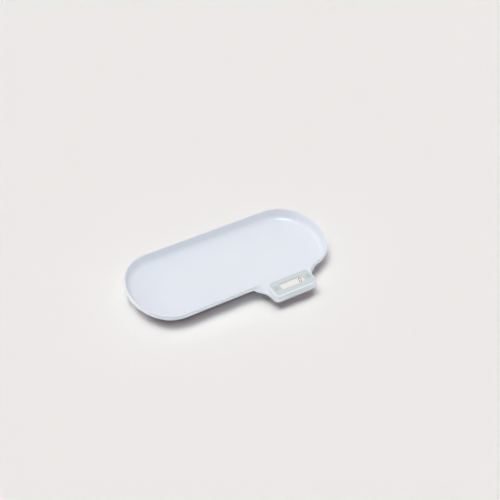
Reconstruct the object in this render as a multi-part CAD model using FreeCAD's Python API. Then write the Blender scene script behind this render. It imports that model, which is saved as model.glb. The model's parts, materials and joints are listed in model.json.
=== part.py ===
import FreeCAD, Part
import math
import os

# Digital baby weighing scale, in millimetres.
# +X runs along the tray, -Y points to the display console, +Z is up.
# Shapes are drawn about the tray's centre and moved on export, so that the origin
# lies under the middle of the whole object, on the surface it stands on.

V = FreeCAD.Vector
UP = V(0, 0, 1)

# Tray outline over the rim: two straight sides, a corner arc and an end arc at each end
TRAY_LENGTH = 562.0
TRAY_WIDTH = 250.0
CORNER_RADIUS = 97.3
END_RADIUS = 158.6

# Heights above the surface that the scale stands on
RIM_TOP = 51.0
BASIN_FLOOR = 23.5
BASE_UNDERSIDE = 5.0
BASE_SEAM = 26.0

# Tray shell section
WALL = 2.4
RIM_THICKNESS = 3.4
BASIN_WALL_RUN = 8.5
COVE_RADIUS = 16.0
RIM_ROUND = 1.2
SKIRT_WALL = 2.0
SKIRT_DRAFT = 0.4
TRAY_SKIRT_HEIGHT = 10.4
CONSOLE_SKIRT_HEIGHT = 16.6
LIP_OUT = 1.0
LIP_HEIGHT = 2.4
LIP_CHAMFER = 0.5

# Console outline at the level of the deck, and what it gains down to the lip
CONSOLE_LEFT = 37.8
CONSOLE_PROJECTION = 63.8
LEFT_CORNER = 13.0
RIGHT_CORNER = 18.0
FRONT_DRAFT = 0.2
LEFT_FLARE = 22.0
LEFT_DRAFT = 2.6
LEFT_WIDENING = 24.0
RIGHT_FLARE = 45.0
RIGHT_DRAFT = 0.8
RIGHT_WIDENING = 2.0
RAMP_REACH = 34.0
RAMP_RUN = 12.0
RAMP_BEND = 16.0
DECK_THICKNESS = 2.8

# Bottom cover section
COVER_WALL = 2.2
COVER_FLOOR = 2.4
BASE_INSET = 11.4
BASE_SLOPE = 0.9
BASE_CHAMFER = 4.0
TUB_UNDERSIDE = 26.5
TUB_OVERLAP = 2.4
TUB_SLOPE = 0.68
TUB_END_ROOM = 6.0
DUCT_UNDERSIDE = 12.0
DUCT_CORNER = 4.0
SEAM_GAP = 0.2
FIT_GAP = 0.3
SINK = 1.0

# Panel overlay, display and buttons
OVERLAY_LEFT_MARGIN = 5.9
OVERLAY_RIGHT_MARGIN = 3.1
OVERLAY_FRONT_MARGIN = 5.8
OVERLAY_END = 3.7
OVERLAY_WIDTH = 49.4
OVERLAY_CORNER = 9.0
OVERLAY_THICKNESS = 0.8
OVERLAY_GAP = 0.15
DISPLAY_OFFSET = (-0.2, 0.3)
WINDOW_CORNER = 1.2
LENS_MARGIN = 2.2
LENS_THICKNESS = 1.0
BUTTON_DIAMETER = 14.0
BUTTON_CLEARANCE = 1.0
BUTTON_GAP = 0.45
BUTTON_PROUD = 0.25
BUTTON_CHAMFER = 0.4
BUTTON_FLANGE_OVER = 1.0
BUTTON_FLANGE_THICKNESS = 1.1
BUTTON_STOP_GAP = 0.05
BUTTON_STEM_DIAMETER = 4.0
BUTTON_TRAVEL = 0.5

# Electronics under the deck
BOARD_END = 7.5
BOARD_SIDE = 8.0
BOARD_THICKNESS = 1.6
BOARD_CORNER = 2.0
BOARD_DROP = 6.8
BOARD_BOSS_DIAMETER = 6.0
BOARD_SCREW_INSET = 4.5
LCD_LENGTH = 72.0
LCD_WIDTH = 28.0
LCD_PLATE = 1.1
LCD_LEDGE = 3.0
LCD_END_BORDER = 1.5
LCD_SIDE_BORDER = 3.3
LCD_GAP = 0.3
BEZEL_WALL = 1.2
ZEBRA_WIDTH = 2.0
SWITCH_SIZE = 6.0
SWITCH_HEIGHT = 3.5
PLUNGER_DIAMETER = 3.4
PLUNGER_GAP = 0.3
PLUNGER_DEPTH = 1.0
CHIP_SIZE = 9.0
CHIP_HEIGHT = 1.9
CONNECTOR_END = 4.5
CONNECTOR_WIDTH = 5.0
CONNECTOR_HEIGHT = 5.5

# Load cells and feet
CELL_FROM_END = 95.0
CELL_FROM_SIDE = 63.0
CELL_SIZE = 34.0
CELL_THICKNESS = 2.2
CELL_UNDERSIDE = 12.8
CELL_SLOT = 2.0
CELL_FRAME = 4.0
CELL_TONGUE = 12.0
CELL_GAP = 0.3
WELL_WALL = 2.0
WELL_ROOM = 3.0
FOOT_DIAMETER = 32.0
FOOT_GAP = 0.4
FOOT_DISC_TOP = 6.0
FOOT_RISE = 1.0
FOOT_STEM_DIAMETER = 22.0
FOOT_STEM_WALL = 2.0
FOOT_PIN_DIAMETER = 9.0
FOOT_LEDGE_TOP = 10.4
FOOT_HOOK_OUT = 1.8
FOOT_HOOK_THICKNESS = 1.1
FOOT_HOOK_WIDTH = 7.0
FOOT_SLACK = 0.5
PAD_DIAMETER = 28.0
PAD_PROUD = 1.6
PAD_THICKNESS = 2.8

# Battery bay, for two AAA cells side by side
BAY_CENTRE = (-20.0, 0.0)
CELL_DIAMETER = 10.5
CELL_LENGTH = 43.6
CELL_NUB = 0.9
CELL_NUB_DIAMETER = 3.8
CELL_PITCH = 11.5
SPRING_LENGTH = 4.5
SPRING_WIRE = 0.6
SPRING_TURNS = 3.0
PLATE_THICKNESS = 0.4
BAY_WALL = 1.8
BAY_SIDE_GAP = 0.6
DOOR_THICKNESS = 2.0
DOOR_GAP = 0.3
DOOR_PIN_DIAMETER = 1.8
DOOR_PIN_LENGTH = 2.0
DOOR_PIN_GAP = 0.05
DOOR_GRIP_FROM_END = 7.0
DOOR_GRIP_DIAMETER = 8.4
DOOR_GRIP_DEPTH = 0.6

# Screws
SCREW_DIAMETER = 3.0
SCREW_HEAD_DIAMETER = 6.0
SCREW_HEAD_HEIGHT = 2.0
SCREW_LENGTH = 10.0
SCREW_GAP = 0.05
SCREW_SINK = 1.5
SCREW_END_ROOM = 1.0
BOSS_WALL = 2.5
BOARD_SCREW_DIAMETER = 2.2
BOARD_SCREW_HEAD = 4.2
BOARD_SCREW_HEAD_HEIGHT = 1.5
BOARD_SCREW_LENGTH = 6.0
END_SCREW_FROM_END = 50.0
END_SCREW_Y = 28.0
SIDE_SCREW_FROM_SIDE = 44.0
SIDE_SCREW_LEFT = -75.0
NECK_SCREW_FROM_LEFT = 13.4
NECK_SCREW_FROM_RIGHT = 10.5
NECK_SCREW_FROM_TRAY = 4.0

# Leads
LEAD_DIAMETER = 2.0
LEAD_BEND = 9.0
LEAD_CLEARANCE = 0.3
LEAD_PITCH = 5.0
LEAD_LIFT = 0.05
LEAD_SIDES = 6
LEAD_STRAIGHT = 8.0
LEAD_FALL_RUN = 10.0
LEAD_RISE_RUN = 14.0
LEAD_WALL_CLEARANCE = 1.5
BATTERY_LEAD_DIAMETER = 1.4
LEAD_ORDER = ["front_left", "front_battery", "rear_battery", "rear_left", "rear_right", "front_right"]

# Ribs
RIB = 1.6
TRAY_RIB_DEPTH = 5.0
RIB_ROW_FROM_CELL = 28.0
RIB_COLUMNS = (-150.0, -75.0, 75.0, 150.0)
BASE_RIB_HEIGHT = 3.0

# Places that follow from the sizes above
HALF_WIDTH = TRAY_WIDTH / 2
CORNER_Y = HALF_WIDTH - CORNER_RADIUS
END_X = TRAY_LENGTH / 2 - END_RADIUS
CORNER_X = END_X + math.sqrt((END_RADIUS - CORNER_RADIUS) ** 2 - CORNER_Y ** 2)
END_ANGLE = math.atan2(CORNER_Y, CORNER_X - END_X)
WALL_SLOPE = BASIN_WALL_RUN / (RIM_TOP - BASIN_FLOOR)
TRAY_LIP = RIM_TOP - TRAY_SKIRT_HEIGHT
CONSOLE_LIP = RIM_TOP - CONSOLE_SKIRT_HEIGHT
CONSOLE_FRONT = -HALF_WIDTH - CONSOLE_PROJECTION
WINDOW_LENGTH = LCD_LENGTH - 2 * LCD_END_BORDER
WINDOW_WIDTH = LCD_WIDTH - 2 * LCD_SIDE_BORDER
BUTTON_ROOM = BUTTON_FLANGE_OVER + BUTTON_CLEARANCE + BEZEL_WALL + FIT_GAP
BUTTON_PITCH = LCD_LENGTH + 2 * BUTTON_ROOM + BUTTON_DIAMETER
OVERLAY_LENGTH = BUTTON_PITCH + BUTTON_DIAMETER + 2 * OVERLAY_END
OVERLAY_CENTRE = (
    CONSOLE_LEFT + OVERLAY_LEFT_MARGIN + OVERLAY_LENGTH / 2,
    CONSOLE_FRONT + OVERLAY_FRONT_MARGIN + OVERLAY_WIDTH / 2,
)
CONSOLE_RIGHT = OVERLAY_CENTRE[0] + OVERLAY_LENGTH / 2 + OVERLAY_RIGHT_MARGIN
DISPLAY_CENTRE = (OVERLAY_CENTRE[0] + DISPLAY_OFFSET[0], OVERLAY_CENTRE[1] + DISPLAY_OFFSET[1])
BOARD_LENGTH = BUTTON_PITCH + 2 * BOARD_END
BOARD_WIDTH = LCD_WIDTH + 2 * BOARD_SIDE
CELL_X = TRAY_LENGTH / 2 - CELL_FROM_END
CELL_Y = HALF_WIDTH - CELL_FROM_SIDE
RIB_ROW = CELL_Y - RIB_ROW_FROM_CELL
LEAD_ROW = (len(LEAD_ORDER) - 1) * LEAD_PITCH
CONNECTOR_LENGTH = LEAD_ROW + 2 * CONNECTOR_END
ORIGIN_SHIFT = (CONSOLE_PROJECTION + FRONT_DRAFT - SKIRT_DRAFT) / 2
FLOOR_UNDERSIDE = BASIN_FLOOR - WALL
BASE_FLOOR_TOP = BASE_UNDERSIDE + COVER_FLOOR
BASE_FRONT = -HALF_WIDTH + BASE_INSET + BASE_SLOPE * (BASE_SEAM - BASE_UNDERSIDE)
TUB_FLOOR_TOP = TUB_UNDERSIDE + COVER_FLOOR
DUCT_FLOOR_TOP = DUCT_UNDERSIDE + COVER_FLOOR
DECK_UNDERSIDE = RIM_TOP - DECK_THICKNESS
OVERLAY_SEAT = RIM_TOP - OVERLAY_THICKNESS
BOARD_TOP = DECK_UNDERSIDE - BOARD_DROP
BOARD_UNDERSIDE = BOARD_TOP - BOARD_THICKNESS
BUTTON_CENTRES = {
    "left": (DISPLAY_CENTRE[0] - BUTTON_PITCH / 2, DISPLAY_CENTRE[1]),
    "right": (DISPLAY_CENTRE[0] + BUTTON_PITCH / 2, DISPLAY_CENTRE[1]),
}
FLANGE_TOP = DECK_UNDERSIDE - BUTTON_STOP_GAP
FLANGE_BOTTOM = FLANGE_TOP - BUTTON_FLANGE_THICKNESS
SWITCH_TOP = BOARD_TOP + SWITCH_HEIGHT
PLUNGER_TOP = SWITCH_TOP + BUTTON_TRAVEL + FIT_GAP
LCD_TOP = DECK_UNDERSIDE - LCD_GAP
CELL_TOP = CELL_UNDERSIDE + CELL_THICKNESS
CORNERS = {
    "front_left": (-1, -1),
    "front_right": (1, -1),
    "rear_left": (-1, 1),
    "rear_right": (1, 1),
}
BAY_LENGTH = CELL_LENGTH + CELL_NUB + SPRING_LENGTH + 2 * PLATE_THICKNESS
BAY_WIDTH = CELL_PITCH + CELL_DIAMETER + 2 * BAY_SIDE_GAP
BATTERY_Z = BASE_UNDERSIDE + DOOR_THICKNESS + BAY_SIDE_GAP + CELL_DIAMETER / 2
BAY_ROOF = BATTERY_Z + CELL_DIAMETER / 2 + BAY_SIDE_GAP
BAY_START = BAY_CENTRE[0] - BAY_LENGTH / 2
BAY_END = BAY_CENTRE[0] + BAY_LENGTH / 2
DOOR_PIN_X = BAY_START - DOOR_THICKNESS
DOOR_PIN_Z = BASE_UNDERSIDE + DOOR_THICKNESS / 2
END_SCREW_X = TRAY_LENGTH / 2 - END_SCREW_FROM_END
SIDE_SCREW_Y = HALF_WIDTH - SIDE_SCREW_FROM_SIDE
BASE_SCREWS = [(x, y) for x in (-END_SCREW_X, END_SCREW_X) for y in (-END_SCREW_Y, END_SCREW_Y)]
SIDE_SCREW_RIGHT = (DISPLAY_CENTRE[0] + LEAD_ROW / 2 + CELL_X - CELL_SIZE / 2) / 2
SIDE_SCREWS_X = (SIDE_SCREW_LEFT, SIDE_SCREW_RIGHT)
BASE_SCREWS += [(x, y) for x in SIDE_SCREWS_X for y in (-SIDE_SCREW_Y, SIDE_SCREW_Y)]
NECK_SCREW_Y = -HALF_WIDTH - NECK_SCREW_FROM_TRAY
NECK_SCREWS = [
    (CONSOLE_LEFT + NECK_SCREW_FROM_LEFT, NECK_SCREW_Y),
    (CONSOLE_RIGHT - NECK_SCREW_FROM_RIGHT, NECK_SCREW_Y),
]
CONNECTOR_Y = DISPLAY_CENTRE[1] + BOARD_WIDTH / 2 - CONNECTOR_WIDTH
CONNECTOR_FACE = BOARD_UNDERSIDE - CONNECTOR_HEIGHT


# ---------------------------------------------------------------- basic shapes

def box(low, high):
    return Part.makeBox(high[0] - low[0], high[1] - low[1], high[2] - low[2], V(*low))


def block(centre, length, width, bottom, top):
    x, y = centre
    return box((x - length / 2, y - width / 2, bottom), (x + length / 2, y + width / 2, top))


def cylinder(centre, diameter, bottom, top):
    return Part.makeCylinder(diameter / 2, top - bottom, V(centre[0], centre[1], bottom))


def arc(centre, radius, start, end, z):
    """Arc about a plan centre, from one angle to another, in radians."""
    points = [
        V(centre[0] + radius * math.cos(a), centre[1] + radius * math.sin(a), z)
        for a in (start, (start + end) / 2, end)
    ]
    return Part.Arc(*points).toShape()


def closed(pieces):
    """Wire through a list of edges, with straight lines where two of them don't meet."""
    edges = []
    for piece, following in zip(pieces, pieces[1:] + pieces[:1]):
        edges.append(piece)
        here = piece.lastVertex(True).Point
        there = following.firstVertex(True).Point
        if here.distanceToPoint(there) > 1e-6:
            edges.append(Part.makeLine(here, there))
    return Part.Wire(edges)


def loft(low, high):
    return Part.makeLoft([low, high], True, True)


def prism(outline, bottom, top):
    return Part.Face(outline(bottom)).extrude(UP * (top - bottom))


def rounded_prism(centre, length, width, radius, bottom, top):
    x, y = length / 2 - radius, width / 2 - radius
    quarter = math.pi / 2
    corners = [(x, y), (-x, y), (-x, -y), (x, -y)]
    arcs = [
        arc((centre[0] + cx, centre[1] + cy), radius, n * quarter, (n + 1) * quarter, bottom)
        for n, (cx, cy) in enumerate(corners)
    ]
    return Part.Face(closed(arcs)).extrude(UP * (top - bottom))


def level_edges(shape, z):
    """Edges of a shape that lie in the level plane at z."""
    return [
        e for e in shape.Edges
        if abs(e.BoundBox.ZMin - z) < 1e-4 and abs(e.BoundBox.ZMax - z) < 1e-4
    ]


def middle(edge):
    return edge.valueAt((edge.FirstParameter + edge.LastParameter) / 2)


def fuse(first, *others):
    return first.multiFuse(list(others)).removeSplitter()


def export(name, shape):
    placed = shape.copy()
    placed.translate(V(0, ORIGIN_SHIFT, 0))
    placed.exportStep(os.path.join("parts", name + ".step"))
    print(f"{name}: {len(placed.Solids)} solids, valid {placed.isValid()}")


# ------------------------------------------------------------------ plan outlines

def tray_outline(inset):
    """Outline of the tray, moved in by inset, as a function of its height."""
    corner, end = CORNER_RADIUS - inset, END_RADIUS - inset
    quarter, half, t = math.pi / 2, math.pi, END_ANGLE

    def at(z):
        return closed([
            arc((CORNER_X, CORNER_Y), corner, quarter, t, z),
            arc((END_X, 0), end, t, -t, z),
            arc((CORNER_X, -CORNER_Y), corner, -t, -quarter, z),
            arc((-CORNER_X, -CORNER_Y), corner, -quarter, t - half, z),
            arc((-END_X, 0), end, half + t, half - t, z),
            arc((-CORNER_X, CORNER_Y), corner, half - t, quarter, z),
        ])

    return at


def flare_centre(side, direction, radius):
    """Centre of the concave arc that blends a console side into the tray's front edge."""
    x = side + direction * radius
    if x <= CORNER_X:
        return x, -HALF_WIDTH - radius
    reach = math.sqrt((CORNER_RADIUS + radius) ** 2 - (x - CORNER_X) ** 2)
    return x, -CORNER_Y - reach


def flare_angle(centre):
    """Direction from a flare's centre to where it touches the tray's outline."""
    if centre[0] <= CORNER_X:
        return math.pi / 2
    return math.atan2(-CORNER_Y - centre[1], CORNER_X - centre[0])


def console_flares(z):
    """Side, centre and radius of the left and the right flare at a height."""
    spread = min((RIM_TOP - z) / CONSOLE_SKIRT_HEIGHT, 1)
    flares = []
    for side, direction, draft, flare, widening in (
        (CONSOLE_LEFT, -1, LEFT_DRAFT, LEFT_FLARE, LEFT_WIDENING),
        (CONSOLE_RIGHT, 1, RIGHT_DRAFT, RIGHT_FLARE, RIGHT_WIDENING),
    ):
        side += direction * draft * spread
        radius = flare + widening * spread
        flares.append((side, flare_centre(side, direction, radius), radius))
    return flares


def console_back():
    """Y inside the rim, behind the points where the flares touch the tray's outline."""
    flares = console_flares(CONSOLE_LIP) + console_flares(RIM_TOP)
    touches = [centre[1] + radius * math.sin(flare_angle(centre)) for side, centre, radius in flares]
    return max(touches) + RIM_THICKNESS / 2


def console_outline(inset, back):
    """Outline of the console, moved in by inset and closed by a straight line at Y = back.

    It is a function of its height: its sides, its front and its flares spread towards the lip."""
    quarter, half = math.pi / 2, math.pi

    def at(z):
        (left, left_centre, left_flare), (right, right_centre, right_flare) = console_flares(z)
        spread = min((RIM_TOP - z) / CONSOLE_SKIRT_HEIGHT, 1)
        front = CONSOLE_FRONT - FRONT_DRAFT * spread
        left_turn = (left + LEFT_CORNER, front + LEFT_CORNER)
        right_turn = (right - RIGHT_CORNER, front + RIGHT_CORNER)
        flare_in = arc(left_centre, left_flare + inset, flare_angle(left_centre), 0, z)
        corner_in = arc(left_turn, LEFT_CORNER - inset, half, 3 * quarter, z)
        corner_out = arc(right_turn, RIGHT_CORNER - inset, -quarter, 0, z)
        flare_out = arc(right_centre, right_flare + inset, half, flare_angle(right_centre), z)
        start = flare_in.firstVertex(True).Point
        end = flare_out.lastVertex(True).Point
        closing = Part.makeLine(V(end.x, back, z), V(start.x, back, z))
        return closed([flare_in, corner_in, corner_out, flare_out, closing])

    return at


# ------------------------------------------------------------------ tray shell

def basin_space(grow=0.0):
    """Space inside the basin's drafted, coved wall, grown by a wall thickness."""
    floor = BASIN_FLOOR - grow
    top = RIM_TOP + RIM_THICKNESS
    side = grow * math.sqrt(1 + WALL_SLOPE ** 2)

    def inset(z):
        return RIM_THICKNESS + WALL_SLOPE * (RIM_TOP - z) - side

    space = loft(tray_outline(inset(floor))(floor), tray_outline(inset(top))(top))
    return space.makeFillet(COVE_RADIUS + grow, level_edges(space, floor))


def rounded_top(body, edges=None):
    """Body with its edges at the level of the rim rounded."""
    return body.makeFillet(RIM_ROUND, edges or level_edges(body, RIM_TOP))


def tray_skirt():
    outer = rounded_top(loft(tray_outline(-SKIRT_DRAFT)(TRAY_LIP), tray_outline(0)(RIM_TOP)))
    inner = prism(tray_outline(SKIRT_WALL), TRAY_LIP, RIM_TOP)
    lip = prism(tray_outline(-SKIRT_DRAFT - LIP_OUT), TRAY_LIP, TRAY_LIP + LIP_HEIGHT)
    lip = lip.makeChamfer(LIP_CHAMFER, level_edges(lip, TRAY_LIP) + level_edges(lip, TRAY_LIP + LIP_HEIGHT))
    return outer.fuse(lip).cut(inner)


def below_edge(lift):
    """Room below the console's lower edge, which climbs to the tray's lip along both flares."""
    left, right = CONSOLE_LEFT - RAMP_REACH, CONSOLE_RIGHT + RAMP_REACH
    high, low = TRAY_LIP + lift, CONSOLE_LIP + lift
    front = CONSOLE_FRONT - CONSOLE_PROJECTION
    points = [
        (left - RAMP_REACH, high), (left, high), (left + RAMP_RUN, low),
        (right - RAMP_RUN, low), (right, high), (right + RAMP_REACH, high),
    ]
    edge = rounded_path([V(x, front, z) for x, z in points], RAMP_BEND)
    floor = Part.makeLine(V(points[-1][0], front, 0), V(points[0][0], front, 0))
    return Part.Face(closed(edge + [floor])).extrude(V(0, -front, 0))


def console_block():
    """Console with its drafted skirt and lip, before it is hollowed from below."""
    back = console_back()
    body = loft(console_outline(0, back)(CONSOLE_LIP), console_outline(0, back)(RIM_TOP))
    free = [e for e in level_edges(body, RIM_TOP) if middle(e).y < -HALF_WIDTH]
    around = console_outline(-LIP_OUT, back)
    lip = loft(around(CONSOLE_LIP), around(TRAY_LIP + LIP_HEIGHT)).common(below_edge(LIP_HEIGHT))
    return rounded_top(body, free).fuse(lip).cut(below_edge(0))


def console_hollow():
    """Room under the deck, open to the space under the basin, between two end walls."""
    outline = console_outline(SKIRT_WALL, BASE_FRONT)
    room = loft(outline(CONSOLE_LIP), outline(DECK_UNDERSIDE))
    left, right = tub_ends(-FIT_GAP)
    walls = [
        box((x, CONSOLE_FRONT, CONSOLE_LIP), (x + RIB, BASE_FRONT, DECK_UNDERSIDE))
        for x in (left - RIB, right)
    ]
    return room.cut([basin_space(WALL)] + walls)


def panel_cuts():
    """Overlay recess, display opening with its lens rebate, and the two button holes."""
    recess = rounded_prism(
        OVERLAY_CENTRE, OVERLAY_LENGTH + 2 * OVERLAY_GAP, OVERLAY_WIDTH + 2 * OVERLAY_GAP,
        OVERLAY_CORNER + OVERLAY_GAP, OVERLAY_SEAT, RIM_TOP,
    )
    opening = rounded_prism(
        DISPLAY_CENTRE, WINDOW_LENGTH, WINDOW_WIDTH, WINDOW_CORNER, DECK_UNDERSIDE, RIM_TOP
    )
    rebate = lens_block(FIT_GAP / 2, 0.0)
    holes = [
        cylinder(c, BUTTON_DIAMETER + 2 * BUTTON_GAP, DECK_UNDERSIDE, RIM_TOP)
        for c in BUTTON_CENTRES.values()
    ]
    return [recess, opening, rebate] + holes


def lens_block(margin, lower):
    """Plate that fills the lens rebate in the underside of the deck."""
    length = WINDOW_LENGTH + 2 * (LENS_MARGIN + margin)
    width = WINDOW_WIDTH + 2 * (LENS_MARGIN + margin)
    top = DECK_UNDERSIDE + LENS_THICKNESS
    return block(DISPLAY_CENTRE, length, width, DECK_UNDERSIDE + lower, top)


def board_screw_places():
    x = BOARD_LENGTH / 2 - BOARD_SCREW_INSET
    y = BOARD_WIDTH / 2 - BOARD_SCREW_INSET
    return [(DISPLAY_CENTRE[0] + sx * x, DISPLAY_CENTRE[1] + sy * y) for sx in (-1, 1) for sy in (-1, 1)]


def on_basin_edge(edge):
    """True for an edge of the rim that runs along the basin."""
    inner = prism(tray_outline(RIM_THICKNESS / 2), RIM_TOP - 1, RIM_TOP + 1)
    return inner.isInside(middle(edge), 1e-3, False)


def tray_bosses():
    """Screw bosses under the basin, under the deck and over the neck of the console."""
    wide = SCREW_DIAMETER + 2 * BOSS_WALL
    low = boss_seat(BASE_UNDERSIDE)
    bosses = [cylinder(p, wide, low, BASIN_FLOOR - WALL / 2) for p in BASE_SCREWS]
    low = boss_seat(TUB_UNDERSIDE)
    bosses += [cylinder(p, wide, low, DECK_UNDERSIDE + WALL / 2) for p in NECK_SCREWS]
    bosses += [
        cylinder(p, BOARD_BOSS_DIAMETER, BOARD_TOP, DECK_UNDERSIDE + WALL / 2)
        for p in board_screw_places()
    ]
    return bosses


def boss_seat(underside):
    """Height at which a boss of the shell meets the post of the bottom cover."""
    return underside + SCREW_SINK + SCREW_HEAD_HEIGHT + COVER_FLOOR


def screw_holes():
    bore = SCREW_DIAMETER + 2 * SCREW_GAP
    depth = SCREW_LENGTH + SCREW_END_ROOM
    holes = []
    for places, underside in ((BASE_SCREWS, BASE_UNDERSIDE), (NECK_SCREWS, TUB_UNDERSIDE)):
        seat = underside + SCREW_SINK + SCREW_HEAD_HEIGHT
        holes += [cylinder(p, bore, seat, seat + depth) for p in places]
    bore = BOARD_SCREW_DIAMETER + 2 * SCREW_GAP
    top = BOARD_UNDERSIDE + BOARD_SCREW_LENGTH + FIT_GAP
    holes += [cylinder(p, bore, BOARD_UNDERSIDE, top) for p in board_screw_places()]
    return holes


def tray_ribs():
    """Stiffening ribs under the basin floor and the frames that press on the load cells."""
    low, high = FLOOR_UNDERSIDE - TRAY_RIB_DEPTH, BASIN_FLOOR - WALL / 2
    length = 2 * (CELL_X + CELL_SIZE)
    rows = [block((0, y), length, RIB, low, high) for y in (-RIB_ROW, RIB_ROW)]
    width = 2 * (CELL_Y + CELL_SIZE / 2)
    columns = [block((x, 0), RIB, width, low, high) for x in RIB_COLUMNS]
    frames = []
    for sx, sy in CORNERS.values():
        centre = (sx * CELL_X, sy * CELL_Y)
        inner = CELL_SIZE - 2 * CELL_FRAME
        frame = block(centre, CELL_SIZE, CELL_SIZE, CELL_TOP, high)
        frames.append(frame.cut(block(centre, inner, inner, CELL_TOP, high)))
    return rows + columns + frames


def tray_shell():
    basin = basin_space(WALL).common(rounded_top(prism(tray_outline(0), 0, RIM_TOP)))
    shell = tray_skirt().fuse([basin, console_block()]).cut(console_hollow())
    shell = shell.fuse(tray_bosses() + tray_ribs()).cut(basin_space())
    shell = shell.cut(screw_holes()).removeSplitter()
    basin_edges = [e for e in level_edges(shell, RIM_TOP) if on_basin_edge(e)]
    return rounded_top(shell, basin_edges).cut(panel_cuts())


# ------------------------------------------------------------------ bottom cover

def base_tub():
    """Outside and inside of the tub under the basin, with a chamfered bottom edge."""
    def tub(wall, bottom, chamfer):
        low = BASE_INSET + BASE_SLOPE * (BASE_SEAM - bottom) + wall
        body = loft(tray_outline(low)(bottom), tray_outline(BASE_INSET + wall)(BASE_SEAM))
        return body.makeChamfer(chamfer, level_edges(body, bottom))

    wall = COVER_WALL * math.sqrt(1 + BASE_SLOPE ** 2)
    return tub(0, BASE_UNDERSIDE, BASE_CHAMFER), tub(wall, BASE_FLOOR_TOP, BASE_CHAMFER - COVER_WALL / 2)


def tub_ends(margin):
    """X of the left and right end of the console's tub, moved in by a margin."""
    (_, left, _), (_, right, _) = console_flares(RIM_TOP)
    return left[0] + TUB_END_ROOM + margin, right[0] - TUB_END_ROOM - margin


def console_tub(wall, bottom):
    """Shallow tub under the console, with its upper edge inside the skirt."""
    edge, top = SKIRT_WALL + FIT_GAP + wall, CONSOLE_LIP + TUB_OVERLAP
    low = edge + TUB_SLOPE * (top - bottom)
    tub = loft(console_outline(low, BASE_FRONT)(bottom), console_outline(edge, BASE_FRONT)(top))
    left, right = tub_ends(wall)
    return tub.common(box((left, CONSOLE_FRONT, bottom), (right, BASE_FRONT, top)))


def lead_duct(wall, bottom, top):
    """Channel that takes the leads from the base to the console, grown by a wall."""
    length = len(LEAD_ORDER) * LEAD_PITCH + 2 * wall
    front, rear = CONNECTOR_Y - LEAD_PITCH / 2 - wall, BASE_FRONT
    centre = (DISPLAY_CENTRE[0], (front + rear) / 2)
    return rounded_prism(centre, length, rear - front, DUCT_CORNER, bottom, top)


def screw_posts():
    """Posts that take the screws from below, and the counterbores in them."""
    posts, bores = [], []
    for places, underside in ((BASE_SCREWS, BASE_UNDERSIDE), (NECK_SCREWS, TUB_UNDERSIDE)):
        seat = underside + SCREW_SINK + SCREW_HEAD_HEIGHT
        for p in places:
            wide = SCREW_HEAD_DIAMETER + 2 * BOSS_WALL
            posts.append(cylinder(p, wide, underside + SINK, boss_seat(underside)))
            bores.append(cylinder(p, SCREW_HEAD_DIAMETER + 2 * FIT_GAP, underside, seat))
            bores.append(cylinder(p, SCREW_DIAMETER + 2 * FIT_GAP, underside, boss_seat(underside)))
    return posts, bores


def foot_wells():
    """Square pockets for the load cells, with a stepped bore for the foot below each."""
    wells, bores = [], []
    for sx, sy in CORNERS.values():
        centre = (sx * CELL_X, sy * CELL_Y)
        pocket = CELL_SIZE + 2 * CELL_GAP
        outside = pocket + 2 * WELL_WALL
        top = CELL_TOP - CELL_GAP
        room = CELL_SIZE - 2 * CELL_FRAME + WELL_ROOM
        wells.append(block(centre, outside, outside, BASE_UNDERSIDE + SINK, top))
        bores.append(block(centre, pocket, pocket, CELL_UNDERSIDE, top))
        bores.append(cylinder(centre, room, FOOT_LEDGE_TOP, CELL_UNDERSIDE))
        bores.append(cylinder(centre, FOOT_STEM_DIAMETER + 2 * FOOT_GAP, BASE_UNDERSIDE, FOOT_LEDGE_TOP))
        disc_room = FOOT_DISC_TOP + FOOT_RISE
        bores.append(cylinder(centre, FOOT_DIAMETER + 2 * FOOT_GAP, BASE_UNDERSIDE, disc_room))
    return wells, bores


def battery_bay():
    """Bay that opens downward: its walls, its room, the door's rebate and the pin holes."""
    height = BAY_ROOF + BAY_WALL
    low = BASE_UNDERSIDE + SINK
    outside = block(BAY_CENTRE, BAY_LENGTH + 2 * BAY_WALL, BAY_WIDTH + 2 * BAY_WALL, low, height)
    room = block(BAY_CENTRE, BAY_LENGTH, BAY_WIDTH, BASE_UNDERSIDE, BAY_ROOF)
    x0 = DOOR_PIN_X - DOOR_THICKNESS / 2 - DOOR_GAP
    x1 = BAY_END + DOOR_THICKNESS + DOOR_GAP
    y0, y1 = door_sides(DOOR_GAP)
    rebate = box((x0, y0, BASE_UNDERSIDE), (x1, y1, BASE_UNDERSIDE + DOOR_THICKNESS + DOOR_GAP))
    frame = box(
        (x0 - BAY_WALL, y0 - DOOR_PIN_LENGTH - BAY_WALL, low),
        (x1 + BAY_WALL, y1 + DOOR_PIN_LENGTH + BAY_WALL, BASE_FLOOR_TOP + BAY_WALL),
    )
    reach = DOOR_PIN_LENGTH + DOOR_GAP
    hole = Part.makeCylinder(
        DOOR_PIN_DIAMETER / 2 + DOOR_PIN_GAP, y1 - y0 + 2 * reach,
        V(DOOR_PIN_X, y0 - reach, DOOR_PIN_Z), V(0, 1, 0),
    )
    return [outside, frame], [room, rebate, hole]


def door_sides(gap):
    """Front and rear Y of the battery door, moved out by a gap."""
    half = BAY_WIDTH / 2 + BAY_WALL / 2 + gap
    return BAY_CENTRE[1] - half, BAY_CENTRE[1] + half


def base_ribs():
    """Low ribs on the floor of the base, between the foot wells."""
    low, high = BASE_UNDERSIDE + SINK, BASE_FLOOR_TOP + BASE_RIB_HEIGHT
    length = 2 * (CELL_X - CELL_SIZE / 2)
    return [block((0, y), length, RIB, low, high) for y in (-RIB_ROW, RIB_ROW)]


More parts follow.
